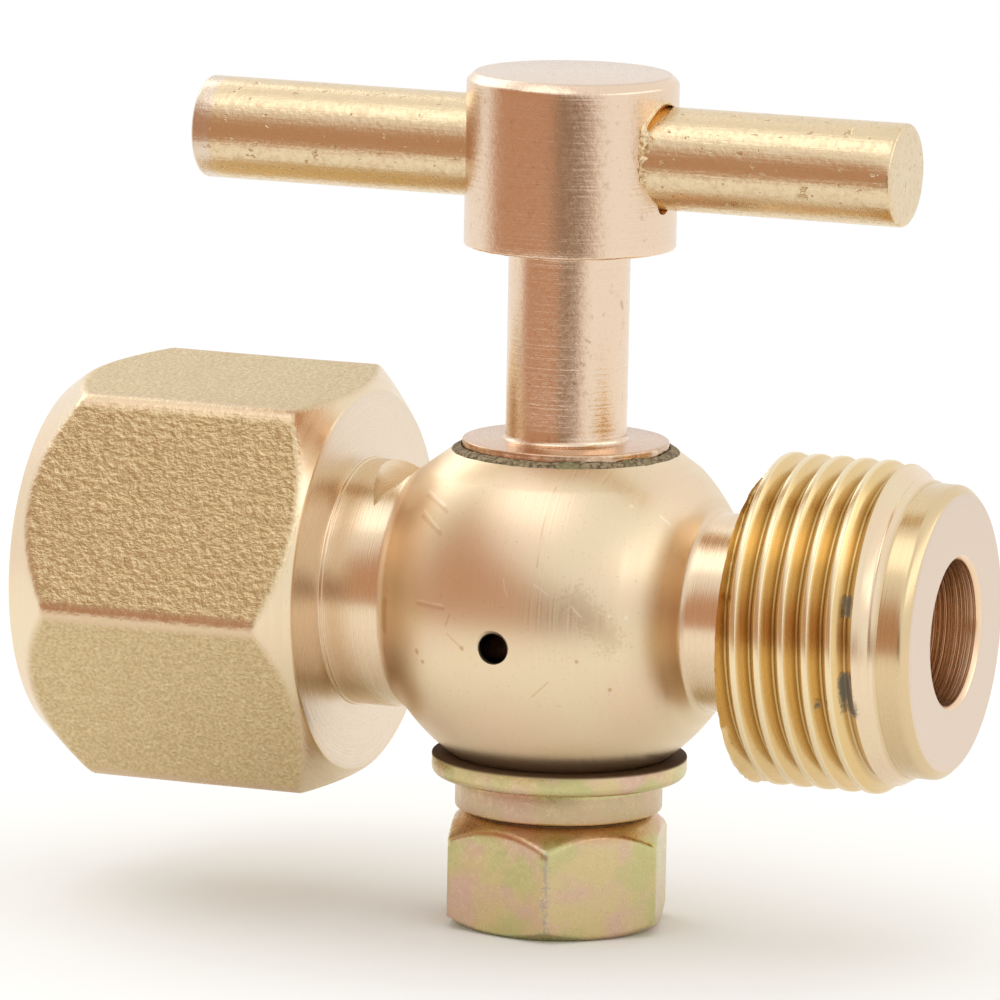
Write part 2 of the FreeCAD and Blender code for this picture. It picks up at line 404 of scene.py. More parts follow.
# marks on the side with the vent: start, end, half width
bodyMarks = {
    "scratches": [
        ((25.69, -6.96, 6.87), (27.73, -8.78, 6.29), 0.17),
        ((25.82, -8.00, 5.77), (27.64, -9.51, 5.04), 0.20),
        ((26.52, -10.22, 0.85), (28.50, -11.03, 0.81), 0.18),
        ((28.97, -11.18, 0.54), (28.71, -11.12, -0.13), 0.12),
        ((34.29, -7.66, 8.29), (34.20, -9.54, 6.07), 0.10),
        ((34.20, -9.54, 6.07), (34.30, -10.64, 3.77), 0.10),
        ((34.11, -10.55, -4.10), (35.13, -10.62, -3.12), 0.10),
        ((28.83, -11.13, -0.65), (29.93, -11.30, -1.48), 0.10),
    ],
    # painted highlights: bright lines beside the scratches, and bright nicks and spots on the ball
    "paintedHighlights": [
        ((25.75, -6.75, 7.13), (27.50, -8.45, 6.57), 0.15),
        ((25.90, -7.80, 6.11), (27.40, -9.25, 5.31), 0.15),
        ((26.60, -10.18, 1.05), (28.40, -10.97, 1.02), 0.13),
        ((32.35, -11.15, 2.96), (32.68, -11.35, 1.99), 0.08),
        ((34.21, -10.95, 2.78), (35.11, -10.86, 2.19), 0.08),
        ((36.44, -10.47, 1.58), (37.00, -10.29, 0.94), 0.09),
        ((39.96, -5.07, 6.45), (40.49, -4.81, 5.94), 0.11),
        ((38.47, -9.40, 0.95), None, 0.17),
        ((39.30, -8.77, 0.82), None, 0.17),
        ((38.50, -6.17, 7.12), None, 0.22),
    ],
    "shade": [((36.64, -10.32, 1.94), (38.56, -9.38, -0.47), 1.9)],
    "pits": [
        ((26.43, -9.99, -2.11), None, 0.26),
        ((29.83, -11.29, -1.40), None, 0.20),
        ((26.83, -10.06, -2.69), None, 0.20),
        ((36.80, -10.30, -1.80), None, 0.18),
        ((38.40, -8.79, -3.61), None, 0.20),
    ],
    "stains": [((23.46, -7.94, 0.25), (23.43, -7.75, -1.30), 0.55)],
    "grime": [
        ((53.30, -8.75, 3.10), (53.44, -8.86, 2.40), 0.55),
        ((53.30, -9.00, -1.70), (53.59, -8.80, -3.60), 0.70),
        ((51.80, -8.95, -3.40), None, 0.50),
        ((45.49, -9.75, -1.69), None, 0.34),
        ((45.57, -9.25, -3.53), None, 0.34),
    ],
}


def threadColor(along, radius, plain):
    # golden flanks over a brown root, which is painted shade in the groove, and a pale crest, which is a
    # painted highlight; the slope at the end stays plain
    tones = brassTones
    threadEnd = bodySizes["threadEnd"]
    grooveShade = blendColor(ramp(radius, *tones["rootAt"]), tones["root"], tones["flank"])
    color = blendColor(ramp(along, threadEnd, threadEnd + 0.6), grooveShade, plain)
    return blendColor(ramp(radius, *tones["crestAt"]), color, tones["crest"])


def bodyBrass():
    s = bodySizes
    tones = brassTones
    bodyEnd = boxOf("cock_body")[1].x
    finish, where = startFinish("bodyBrass")
    parts, radius = axisSplit(where, 1, 2, 0.0)
    along = parts[0]
    fromBall = vectorValue("DISTANCE", where, (plugX, 0, 0))
    onBall = band(fromBall, *tones["ballAt"], tones["ballSoft"])
    onThread = both(band(along, s["shoulder"] - 0.01, s["noseStart"], 0.04),
                    ramp(radius, *tones["threadFoot"]))
    onShoulder = both(band(along, s["hexLength"] - 0.03, s["hexLength"] + 0.05, 0.03),
                      band(radius, *tones["shoulderAt"], tones["shoulderSoft"]))
    onNose = both(ramp(along, bodyEnd - 0.05, bodyEnd - 0.01), ramp(radius, *tones["noseFaceAt"]))
    besideNose = both(ramp(along, s["noseStart"] - 0.3, s["noseStart"]), ramp(radius, *tones["noseSideAt"]))
    inBore = both(ramp(along, s["drill"] - 1, s["drill"]), ramp(radius, *tones["boreAt"], 1.0, 0.0))
    raw = attributeShare("rawFlat")
    corner = attributeShare("rawCorner")

    tone = noiseAt(where, *tones["toneGrain"])
    rings = ringLines(along, radius, *tones["ringGrain"])
    fine = noiseAt(where, *tones["fineGrain"])
    coarse = noiseAt(where, *tones["coarseGrain"], tones["coarseStretch"])
    ragged = raggedBy(fine, 0.5, 0.8)
    specks = ramp(fine, 0.66, 0.74)
    # the flat above the vent and the one across from it are the coarsest
    flatAt = radians(s["hexTurn"] + 60)
    outwards = vectorValue("DOT_PRODUCT", where, (0, -sin(flatAt), cos(flatAt)))
    coarseFlat = ramp(maths("ABSOLUTE", outwards), *tones["coarseFlatAt"])
    grain = blendValue(coarseFlat, fine, coarse)

    plain = blendColor(ramp(tone, 0.35, 0.65), tones["yellow"], tones["rose"])
    freckles = both(onBall, ramp(fine, 0.27, 0.36, 1.0, 0.0))
    plain = layered(plain, tones, (
        (both(both(onBall, specks), tones["speckShare"]), "speckAndHighlight"),
        (both(freckles, tones["freckleShare"]), "stain"),
    ))
    color = blendColor(onThread, plain, threadColor(along, radius, plain))
    color = layered(color, tones, (
        (besideNose, "paintedNoseShade"), (onShoulder, "shoulder"), (onNose, "noseFace"), (inBore, "bored"),
    ))
    rawColor = blendColor(ramp(grain, 0.26, 0.72), tones["rawDark"], tones["rawLight"])
    rawColor = layered(rawColor, tones, (
        (specks, "speck"), (both(corner, tones["cornerShare"]), "corner"),
    ))
    color = blendColor(raw, color, rawColor)

    scratched = markShare(where, bodyMarks["scratches"], both(ragged, 0.5))
    # painted highlights along the scratches and on the nicks; the pale tone also colours grain specks on the
    # ball
    paintedHighlight = markShare(where, bodyMarks["paintedHighlights"], both(ragged, 0.7))
    pitted = markShare(where, bodyMarks["pits"], ragged)
    stained = markShare(where, bodyMarks["stains"], both(ragged, 0.5))
    dirty = markShare(where, bodyMarks["grime"], ragged)
    shaded = markShare(where, bodyMarks["shade"], maths("SUBTRACT", both(ragged, 2.2), 0.25))
    # painted shade inside the vent
    ventStart, ventEnd = ((plugX, place, -s["ventDrop"]) for place in (tones["ventFrom"], tones["ventTo"]))
    paintedVentShade = both(ramp(fromBall, *tones["ventDepth"], 1.0, 0.0),
                  ramp(nearLine(where, ventStart, ventEnd), *tones["ventWall"], 1.0, 0.0))
    # painted shade on the ball's underside, where it meets the washer
    paintedShadeBelow = both(ramp(parts[2], *tones["paintedShadeAt"], 1.0, 0.0), ramp(fromBall, *tones["paintedShadeDepth"], 1.0, 0.0))
    worn = maths("MAXIMUM", both(scratched, tones["scratchShare"]), both(stained, tones["stainShare"]))
    worn = maths("MAXIMUM", worn, both(pitted, tones["pitShare"]))
    color = layered(color, tones, (
        (both(shaded, tones["shadeShare"]), "shade"), (both(paintedHighlight, tones["paintedHighlightShare"]), "speckAndHighlight"),
        (worn, "stain"), (dirty, "grime"), (paintedShadeBelow, "paintedGapShade"), (paintedVentShade, "vent"),
    ))

    gloss = blendValue(onBall, tones["plainGloss"], tones["ballGloss"])
    gloss = blendValue(onShoulder, gloss, tones["shoulderGloss"])
    gloss = blendValue(onNose, gloss, tones["noseGloss"])
    gloss = blendValue(raw, gloss, blendValue(corner, tones["rawGloss"], tones["cornerGloss"]))
    gloss = maths("ADD", gloss, ramp(rings, 0.3, 0.7, -0.03, 0.05))
    gloss = blendValue(dirty, gloss, tones["grimeGloss"])
    ringShare = without(maths("MAXIMUM", raw, onThread))
    ringShare = both(ringShare, blendValue(inBore, 0.25, 1.0))
    rawShare = both(raw, blendValue(corner, blendValue(coarseFlat, 0.5, 1.0), 0.35))
    height = maths("ADD", both(rings, both(ringShare, tones["ringBump"])), both(grain, rawShare))
    metal = without(maths("MAXIMUM", both(dirty, 0.8), both(paintedShadeBelow, 0.5)))
    endFinish(color, gloss, height, tones["bump"], metal)
    return finish


# threaded spigot and socket
threadSizes = {
    "pitch": 1.5, "crest": 10.0, "root": 9.08, "crestFlat": 0.3, "rootFlat": 0.16, "rounding": 0.05,
    "rootAt": 50.2, "rootAngle": 170.9,         # a root line passes here on the side with the vent
    "insideCrest": 9.188, "insideRoot": 10.0, "steps": 180,
}


def threadSleeve(base, tip, low, high, steps):
    # one pitch of the thread, spun as a screw and repeated
    t = threadSizes
    pitch = t["pitch"]
    reach = ceil((t["rootAt"] - low) / pitch) + 1
    first = t["rootAt"] - reach * pitch
    turns = ceil((high - first) / pitch) + 1
    rows = [
        (first, base, 0, 0),
        (first + t["rootFlat"] / 2, base, t["rounding"], 0),
        (first + (pitch - t["crestFlat"]) / 2, tip, t["rounding"], 0),
        (first + (pitch + t["crestFlat"]) / 2, tip, t["rounding"], 0),
        (first + pitch - t["rootFlat"] / 2, base, t["rounding"], 0),
        (first + pitch, base, 0, 0),
    ]
    bm = bmesh.new()
    corners, last = drawRun(bm, rows, onPipe)
    roundOff(bm, corners, 2)
    moveAll(bm, Matrix.Rotation(radians(t["rootAngle"] - 90), 4, "X"))
    bmesh.ops.spin(bm, geom=everything(bm), angle=2 * pi, steps=steps, dvec=(pitch / steps, 0, 0), **pipeLine)
    oneTurn = everything(bm)
    for k in range(1, turns):
        copied = bmesh.ops.duplicate(bm, geom=oneTurn)["geom"]
        nextTurn = [v for v in copied if isinstance(v, bmesh.types.BMVert)]
        bmesh.ops.translate(bm, vec=(k * pitch, 0, 0), verts=nextTurn)
    weld(bm)
    return bm


def squareEnds(bm, low, high):
    for place, side in ((low, -1), (high, 1)):
        bmesh.ops.bisect_plane(bm, geom=everything(bm), dist=0.0005, plane_co=(place, 0, 0),
                               plane_no=(side, 0, 0), clear_outer=True)


def pipeRadius(vert):
    return hypot(vert.co.y, vert.co.z)


def setRadius(vert, radius):
    now = pipeRadius(vert)
    vert.co.y *= radius / now
    vert.co.z *= radius / now


def closeRing(bm, place):
    # flat face between two open rings at one place along the pipe
    edges = [e for e in bm.edges if e.is_boundary and all(abs(v.co.x - place) < 0.003 for v in e.verts)]
    bmesh.ops.triangle_fill(bm, use_beauty=True, edges=edges, normal=(1, 0, 0))


bodySizes = {
    "hexLength": 18.95, "hexFlats": 24.0, "hexCorner": 1.0, "hexTurn": 4.6, "softEdge": 0.26,
    "mouthFace": 11.05, "mouthSlope": 38.0, "shoulderFace": 11.6, "shoulderSlope": 50.7,
    "mouthRing": 10.2, "lead": 0.45, "socketFloor": 15.0, "threadFade": (11.8, 13.4),
    "socketNeck": 7.5, "spigotNeck": 6.0, "ball": 11.55, "fillet": 1.1, "neckStep": 0.09, "stepLength": 0.22,
    "shoulder": 45.303, "threadEnd": 53.153, "spigotSlope": 30.0, "nose": 8.85, "noseStart": 55.145,
    "ragged": 0.17, "raggedRun": 0.55,          # chipped start of the outside thread
    "noseRim": 0.5, "bore": 4.4, "boreLead": 0.25, "boreEnd": 42.710, "drill": 43.702, "port": 2.75,
    "land": 9.09, "landEdge": 6.85, "base": -9.5, "seatTop": 6.305, "collarTop": 9.78, "taper": 14.0,
    "vent": 0.9, "ventDrop": 1.28, "ventFlare": 2.2, "ventSink": 0.25, "landSlope": 0.75, "past": 2.0,
    "faceEdge": 0.12, "ballEdge": 0.25, "noseEdge": 0.15, "noseLap": 0.02, "boreEdge": 0.05, "slopeEdge": 0.06,
    "wave": 0.06, "waveScale": 0.22, "rawCorner": (27.0, 28.3),     # degrees from the middle of a flat
    "steps": 320, "crowding": 0.65, "crowdFrom": (8, 11), "seatSteps": 192, "ventSteps": 48,
}


def hexShape(radius, angle):
    s = bodySizes
    flats = hexRadius(angle, s["hexFlats"], s["hexCorner"])
    return softMin(radius, flats, s["softEdge"])


def hexAngle(vert):
    # from the middle of a flat, about the pipe
    return atan2(-vert.co.y, vert.co.z) - radians(bodySizes["hexTurn"])


def buildBody():
    s = bodySizes
    t = threadSizes
    bodyEnd = boxOf("cock_body")[1].x
    corner = s["hexFlats"] / sqrt(3)
    mouthRun = (corner - s["mouthFace"]) / tan(radians(s["mouthSlope"]))
    shoulderRun = (corner - s["shoulderFace"]) / tan(radians(s["shoulderSlope"]))
    stepEnd = s["hexLength"] + s["stepLength"]
    noseJoin = s["noseStart"] - s["noseLap"]
    filletMiddle = s["socketNeck"] + s["fillet"]        # rounded inside corner between the neck and the ball
    lean = asin(filletMiddle / (s["ball"] + s["fillet"]))
    filletAt = plugX - (s["ball"] + s["fillet"]) * cos(lean)

    # outside, from the socket's mouth to the spigot's shoulder
    outer = bmesh.new()
    start = drawRun(outer, [
        (0, s["mouthRing"], 0, 0),
        (0, s["mouthFace"], s["faceEdge"], 0),
        (mouthRun, corner, 0, 20),
        (s["hexLength"] - shoulderRun, corner, 0, 22),
        (s["hexLength"], s["shoulderFace"], s["faceEdge"], 12),
        (s["hexLength"], s["socketNeck"] + s["neckStep"], 0.06, 5),
        (stepEnd, s["socketNeck"] + s["neckStep"], 0.05, 0),
        (stepEnd, s["socketNeck"], 0.04, 0),
        (filletAt, s["socketNeck"], 0, 4),
    ], onPipe)
    ballStart = sweepArc(outer, start[1], (filletAt, 0, filletMiddle), lean - pi / 2, 8)
    arc = pi - lean - asin(s["spigotNeck"] / s["ball"])
    ballEnd = sweepArc(outer, ballStart, (plugX, 0, 0), arc, 52)
    drawRun(outer, [(s["shoulder"], s["spigotNeck"], 0, 4)], onPipe, ballEnd)
    roundOff(outer, start[0] + [(ballEnd, s["ballEdge"])], 3)
    spinRound(outer, pipeLine, s["steps"])

    # flats pressed into the turned blank, with more of its lines near the corners
    for vert in outer.verts:
        radius = pipeRadius(vert)
        if vert.co.x > s["hexLength"] + 0.001:
            continue
        angle = hexAngle(vert)
        shift = s["crowding"] / 6 * sin(6 * angle) * smooth(*s["crowdFrom"], radius)
        vert.co.yz = Matrix.Rotation(shift, 2) @ vert.co.yz
        pressed, share = hexShape(radius, angle + shift)
        pressed -= s["wave"] * share * (0.5 + 0.5 * noise.noise(vert.co * s["waveScale"]))
        setRadius(vert, pressed)

    # outside thread, brought down to the end's slope
    screw = threadSleeve(t["root"], t["crest"], s["shoulder"], s["noseStart"], t["steps"])
    for vert in screw.verts:
        slope = t["crest"] - (vert.co.x - s["threadEnd"]) * tan(radians(s["spigotSlope"]))
        setRadius(vert, softMin(pipeRadius(vert), slope, s["slopeEdge"])[0])
        start = 1 - smooth(0, s["raggedRun"], vert.co.x - s["shoulder"])
        chips = noise.noise(vert.co * 1.1) + 0.7 * noise.noise(vert.co * 2.9)
        setRadius(vert, pipeRadius(vert) - s["ragged"] * start * max(0, 0.2 + chips))
    squareEnds(screw, s["shoulder"], noseJoin)

    # inside thread, with its lead at the mouth and its run-out before the floor
    tapped = threadSleeve(t["insideRoot"], t["insideCrest"], 0, s["socketFloor"], t["steps"] // 2)
    for vert in tapped.verts:
        radius = pipeRadius(vert)
        radius = max(radius, t["insideCrest"] + s["lead"] - vert.co.x)
        faded = smooth(*s["threadFade"], vert.co.x)
        setRadius(vert, radius + (t["insideCrest"] - radius) * faded)
    squareEnds(tapped, 0, s["socketFloor"])

    # nose and the whole passage
    inner = turn([
        (noseJoin, s["nose"], 0, 0),
        (bodyEnd - s["noseRim"], s["nose"], s["noseEdge"], 2),
        (bodyEnd, s["nose"] - s["noseRim"], s["noseEdge"], 0),
        (bodyEnd, s["bore"] + s["boreLead"], s["boreEdge"], 4),
        (bodyEnd - s["boreLead"], s["bore"], s["boreEdge"], 0),
        (s["drill"], s["bore"], 0, 6),
        (s["boreEnd"], s["port"], 0, 0),
        (s["socketFloor"], s["port"], 0, 12),
    ], onPipe, pipeLine, t["steps"])

    bm = outer
    for shape in (screw, tapped, inner):
        addTo(bm, shape)
    for place in (0, s["socketFloor"], s["shoulder"], noseJoin):
        closeRing(bm, place)
    weld(bm)
    print("body shell: open edges", sum(not e.is_manifold for e in bm.edges))

    # tapered seat with the flats above and below it, and the vent
    def seat(height):
        return s["seatTop"] - (s["collarTop"] - height) / s["taper"]

    wide = s["ball"]
    far = wide + s["past"]
    seatCutter = turn([
        (0, -far, 0, 0),
        (wide, -far, 0, 0),
        (wide, s["base"], 0, 0),
        (seat(s["base"]), s["base"], 0, 0),
        (seat(s["land"]), s["land"], 0, 0),
        (s["landEdge"], s["land"], 0.1, 0),
        (wide, s["land"] - (wide - s["landEdge"]) * s["landSlope"], 0, 0),
        (wide, far, 0, 0),
        (0, far, 0, 0),
    ], onPlug, plugLine, s["seatSteps"])
    ventCutter = turn([
        (-far, 0, 0, 0),
        (-far, s["vent"] + s["ventFlare"], 0, 0),
        (s["ventSink"] - wide, s["vent"], 0.1, 0),
        (0, s["vent"], 0, 0),
        (0, 0, 0, 0),
    ], onPipe, pipeLine, s["ventSteps"])
    toVent = Matrix.Translation((plugX, 0, -s["ventDrop"])) @ Matrix.Rotation(pi / 2, 4, "Z")
    moveAll(ventCutter, toVent)
    bm = cutAway(bm, [seatCutter, ventCutter])

    # how raw each spot of the hexagon is
    rawFlat = bm.verts.layers.float.new("rawFlat")
    rawCorner = bm.verts.layers.float.new("rawCorner")
    for vert in bm.verts:
        radius = pipeRadius(vert)
        if vert.co.x < s["hexLength"] and radius > s["mouthFace"]:
            x = vert.co.x
            envelope = min(s["mouthFace"] + x * tan(radians(s["mouthSlope"])),
                           s["shoulderFace"] + (s["hexLength"] - x) * tan(radians(s["shoulderSlope"])), corner)
            vert[rawFlat] = hexShape(envelope, hexAngle(vert))[1]
            off = abs((hexAngle(vert) + pi / 6) % (pi / 3) - pi / 6)
            vert[rawCorner] = smooth(*map(radians, s["rawCorner"]), off)
    finishPiece(bm, "cockBody", "valve_body", bodyBrass(), "cock_body", sharp=28)


buildBody()


# plug with its stem and head
plugTones = {
    "rose": (0.82, 0.64, 0.48, 1), "pale": (0.76, 0.595, 0.465, 1), "brown": (0.60, 0.41, 0.27, 1),
    # the notch tone is painted bounce light, orange inside the bar's hole
    "collar": (0.67, 0.445, 0.295, 1), "notch": (0.78, 0.44, 0.13, 1), "gloss": 0.22,
    "topAt": (31.9, 32.0), "collarAt": (9.7, 9.85), "holeAt": (23.0, 31.3), "rimAt": (8.5, 9.9),    # heights
    "rimOut": (5.75, 6.2), "soft": 0.1, "ringGrain": (5.0, 3.0), "fineGrain": (3.4, 3.0, 0.65),
    "spotGrain": (1.6, 2.0, 0.6), "spotShare": 0.45, "markShare": 0.8, "shadeShare": 0.4,
    "ringBump": 0.6, "bump": 0.02,
}
# shaded strip on the head and nicks on the stem: start, end, half width
plugShade = [((34.5, -5.8, 23.0), (34.2, -5.95, 30.5), 2.3)]
plugMarks = [
    ((34.11, -2.88, 16.35), (34.30, -2.72, 16.20), 0.13), ((33.90, -3.04, 14.95), (34.05, -2.93, 14.85), 0.15),
    ((33.50, -3.28, 13.80), (33.60, -3.22, 13.70), 0.11), ((35.46, -0.60, 18.40), (35.47, -0.45, 18.10), 0.24),
]


def plugBronze():
    tones = plugTones
    head = halfWidth("taper_plug")
    finish, where = startFinish("plugBronze")
    parts, radius = axisSplit(where, 0, 1, plugX)
    height = parts[2]
    rings = ringLines(height, radius, *tones["ringGrain"])
    grain = noiseAt(where, *tones["fineGrain"])
    spots = noiseAt(where, *tones["spotGrain"])
    top = ramp(height, *tones["topAt"])
    onCollar = band(height, *tones["collarAt"], tones["soft"] / 2)
    # painted bounce light: orange on the inside of the bar's hole
    paintedHoleBounce = both(ramp(radius, head - 0.1, head - 0.04, 1.0, 0.0),
                  band(height, *tones["holeAt"], tones["soft"]))
    rim = both(ramp(radius, *tones["rimOut"]), band(height, *tones["rimAt"], tones["soft"]))
    marked = markShare(where, plugMarks, raggedBy(grain, 0.5, 0.2))
    shaded = markShare(where, plugShade, raggedBy(grain, 0.55, 2.4))
    color = layered(tones["rose"], tones, (
        (top, "pale"), (onCollar, "collar"), (both(rim, ramp(spots, 0.35, 0.6)), "brown"),
        (ramp(spots, 0.62, 0.72, 0.0, tones["spotShare"]), "brown"),
        (both(marked, tones["markShare"]), "brown"),
        (both(shaded, tones["shadeShare"]), "brown"), (paintedHoleBounce, "notch"),
    ))
    gloss = glossBy(grain, -0.03, 0.07, tones["gloss"])
    bumps = maths("ADD", both(rings, tones["ringBump"]), grain)
    endFinish(color, gloss, bumps, tones["bump"])
    return finish


plugSizes = {
    "taperTop": 6.275, "taperSlope": 14.0, "collarTop": 9.78, "collarRim": 0.14, "plugEnd": -8.8,
    "stem": 3.675, "stemRoot": 0.35, "headBottom": 21.55, "headChamfer": 0.5, "headBurr": 0.14,
    "tail": 4.0, "tailChamfer": 0.7, "port": 2.75, "steps": 180,
    "portReach": 8.0, "portSteps": 64, "rimUneven": 0.07, "rimRun": 0.5, "rimWidth": 0.3,
    "hole": 3.04, "crescent": 0.6, "notch": 0.45, "holeDepth": 0.5, "holeRough": 0.07, "holeSteps": 150,
    # degrees round the hole, from the top
    "crescentRise": (-12, 26), "crescentFall": (44, 80), "notchRise": (146, 158), "notchFall": (162, 176),
    "mouth": 1.2, "past": 1.0,
}


def holeReach(place):
    # the hole's mouth opens into a crescent above and a notch below, on the side with the vent
    s = plugSizes
    spot = Vector((0, place.y, place.z)).normalized() * s["hole"]
    angle = degrees(atan2(-spot.y, spot.z))
    crescent = hump(s["crescentRise"], s["crescentFall"], angle)
    notch = hump(s["notchRise"], s["notchFall"], angle)
    rough = abs(noise.noise(spot * 1.3)) + 0.5 * abs(noise.noise(spot * 3.1))
    return s["crescent"] * crescent + s["notch"] * notch + s["holeRough"] * rough


def buildPlug():
    s = plugSizes
    low, high = boxOf("taper_plug")
    head = halfWidth("taper_plug")
    barZ = middleHeight("handle_bar")
    bottom = s["taperTop"] - (s["collarTop"] - s["plugEnd"]) / s["taperSlope"]
    bm = turn([
        (0, low.z, 0, 0),
        (s["tail"] - s["tailChamfer"], low.z, 0.08, 0),
        (s["tail"], low.z + s["tailChamfer"], 0.08, 0),
        (s["tail"], s["plugEnd"], 0, 0),
        (bottom, s["plugEnd"], 0.1, 0),
        (s["taperTop"], s["collarTop"], s["collarRim"], 12),
        (s["stem"], s["collarTop"], s["stemRoot"], 0),
        (s["stem"], s["headBottom"], 0.08, 10),
        (head, s["headBottom"], s["headBurr"], 2),
        (head, high.z - s["headChamfer"], 0.1, 14),
        (head - s["headChamfer"], high.z, 0.1, 0),
        (0, high.z, 0, 0),
    ], onPlug, plugLine, s["steps"])
    for vert in bm.verts:                       # uneven rim under the head
        near = 1 - smooth(0, s["rimRun"], abs(vert.co.z - s["headBottom"]))
        if near > 0 and hypot(vert.co.x - plugX, vert.co.y) > head - s["rimWidth"]:
            vert.co.z += s["rimUneven"] * near * abs(noise.noise(vert.co * 1.1))
    port, far = s["port"], s["portReach"]
    through, branch = (
        turn([(start, 0, 0, 0), (start, port, 0, 0), (far, port, 0, cuts), (far, 0, 0, 0)],
             onPipe, pipeLine, s["portSteps"])
        for start, cuts in ((-far, 6), (0, 3)))
    past = head + s["past"]
    mouth = head - s["mouth"]
    hole = turn([
        (-past, 0, 0, 0),
        (-past, s["hole"], 0, 6),
        (-mouth, s["hole"], 0, 26),
        (mouth, s["hole"], 0, 4),
        (past, s["hole"], 0, 26),
        (past, 0, 0, 6),
    ], onPipe, pipeLine, s["holeSteps"])
    for vert in hole.verts:                     # open mouths
        out = pipeRadius(vert)
        if out > s["hole"] - 0.01:
            depth = sqrt(head ** 2 - vert.co.y ** 2) - abs(vert.co.x)
            setRadius(vert, out + holeReach(vert.co) * (1 - smooth(-0.1, s["holeDepth"], depth)))
    toPlug = Matrix.Translation((plugX, 0, 0))
    moveAll(through, toPlug)
    moveAll(branch, toPlug @ Matrix.Rotation(pi / 2, 4, "Z"))
    moveAll(hole, Matrix.Translation((plugX, 0, barZ)))
    bm = cutAway(bm, [through, branch, hole])
    finishPiece(bm, "taperPlug", "plug_group", plugBronze(), "taper_plug")


buildPlug()


# cross bar of drawn rod
barTones = {
    "yellow": (0.77, 0.615, 0.40, 1), "brown": (0.54, 0.38, 0.19, 1), "end": (0.74, 0.61, 0.475, 1),
    "gloss": 0.25, "lineGrain": (5.0, 2.0, 0.55, (0.05, 1.0, 1.0)), "fineGrain": (3.0, 3.0, 0.6),
    "pitGrain": (1.9, 2.0, 0.6, (0.7, 1.0, 1.0)), "pitShare": 0.8, "pitDepth": 1.5, "lineBump": 0.6,
    "bump": 0.02,
}


def barBrass():
    tones = barTones
    half = halfWidth("handle_bar")
    finish, where = startFinish("barBrass")
    lines = noiseAt(where, *tones["lineGrain"])
    grain = noiseAt(where, *tones["fineGrain"])
    pitted = ramp(noiseAt(where, *tones["pitGrain"]), 0.66, 0.72)
    fromMiddle = maths("SUBTRACT", put("SeparateXYZ", {0: where}).outputs[0], plugX)
    onEnd = ramp(maths("ABSOLUTE", fromMiddle), half - 0.06, half - 0.02)
    color = layered(tones["yellow"], tones, (
        (ramp(grain, 0.45, 0.75, 0.0, 0.35), "brown"), (both(pitted, tones["pitShare"]), "brown"),
        (onEnd, "end"),
    ))
    gloss = glossBy(grain, -0.04, 0.08, tones["gloss"])
    bumps = maths("ADD", both(lines, tones["lineBump"]), grain)
    bumps = maths("SUBTRACT", bumps, both(pitted, tones["pitDepth"]))
    endFinish(color, gloss, bumps, tones["bump"])
    return finish


barSizes = {"endRound": 0.22, "steps": 112}


def buildBar():
    low, high = boxOf("handle_bar")
    radius = (high.z - low.z) / 2
    bm = turn([
        (low.x, 0, 0, 0),
        (low.x, radius, barSizes["endRound"], 3),
        (high.x, radius, barSizes["endRound"], 24),
        (high.x, 0, 0, 3),
    ], onPipe, pipeLine, barSizes["steps"])
    moveAll(bm, Matrix.Translation((0, 0, middleHeight("handle_bar"))))
    finishPiece(bm, "crossBar", "plug_group", barBrass(), "handle_bar")


buildBar()


# plated washers and nut under the ball
plateTones = {
    "straw": (0.68, 0.55, 0.29, 1), "green": (0.58, 0.54, 0.255, 1), "pink": (0.69, 0.48, 0.37, 1),
    "steel": (0.68, 0.63, 0.55, 1), "paintedGapShade": (0.115, 0.066, 0.032, 1), "paintedChamferShade": (0.60, 0.35, 0.17, 1),
    "bare": (0.46, 0.41, 0.35, 1), "split": (0.50, 0.37, 0.23, 1), "gloss": 0.28,
    # heights, and distances from the plug's axis
    "splitAt": (-12.6, -11.3), "slopeAt": (-13.6, -12.9), "upperGap": (-9.75, -9.56),
    "lowerGap": (-12.95, -12.75), "slopeOut": (5.3, 5.7), "lowerGapIn": (5.7, 6.0),
    "patchGrain": 0.34, "filmGrain": 0.30, "wearGrain": (2.6, 3.0, 0.65), "crumbGrain": 5.5,
    "splitPink": 0.45, "splitGreen": 0.5, "greenShare": 0.95, "splitShare": 0.55, "steelShare": 0.8,
    "paintedChamferShadeShare": 0.7, "bareShare": 0.75, "paintedShadeGloss": 0.75, "paintedShadeDull": 0.85, "bump": 0.014, "specular": 0.2,
}
# rubbed corner of the nut: start, end, half width
plateMarks = [((33.78, -6.93, -13.7), (33.78, -6.93, -19.7), 0.36)]


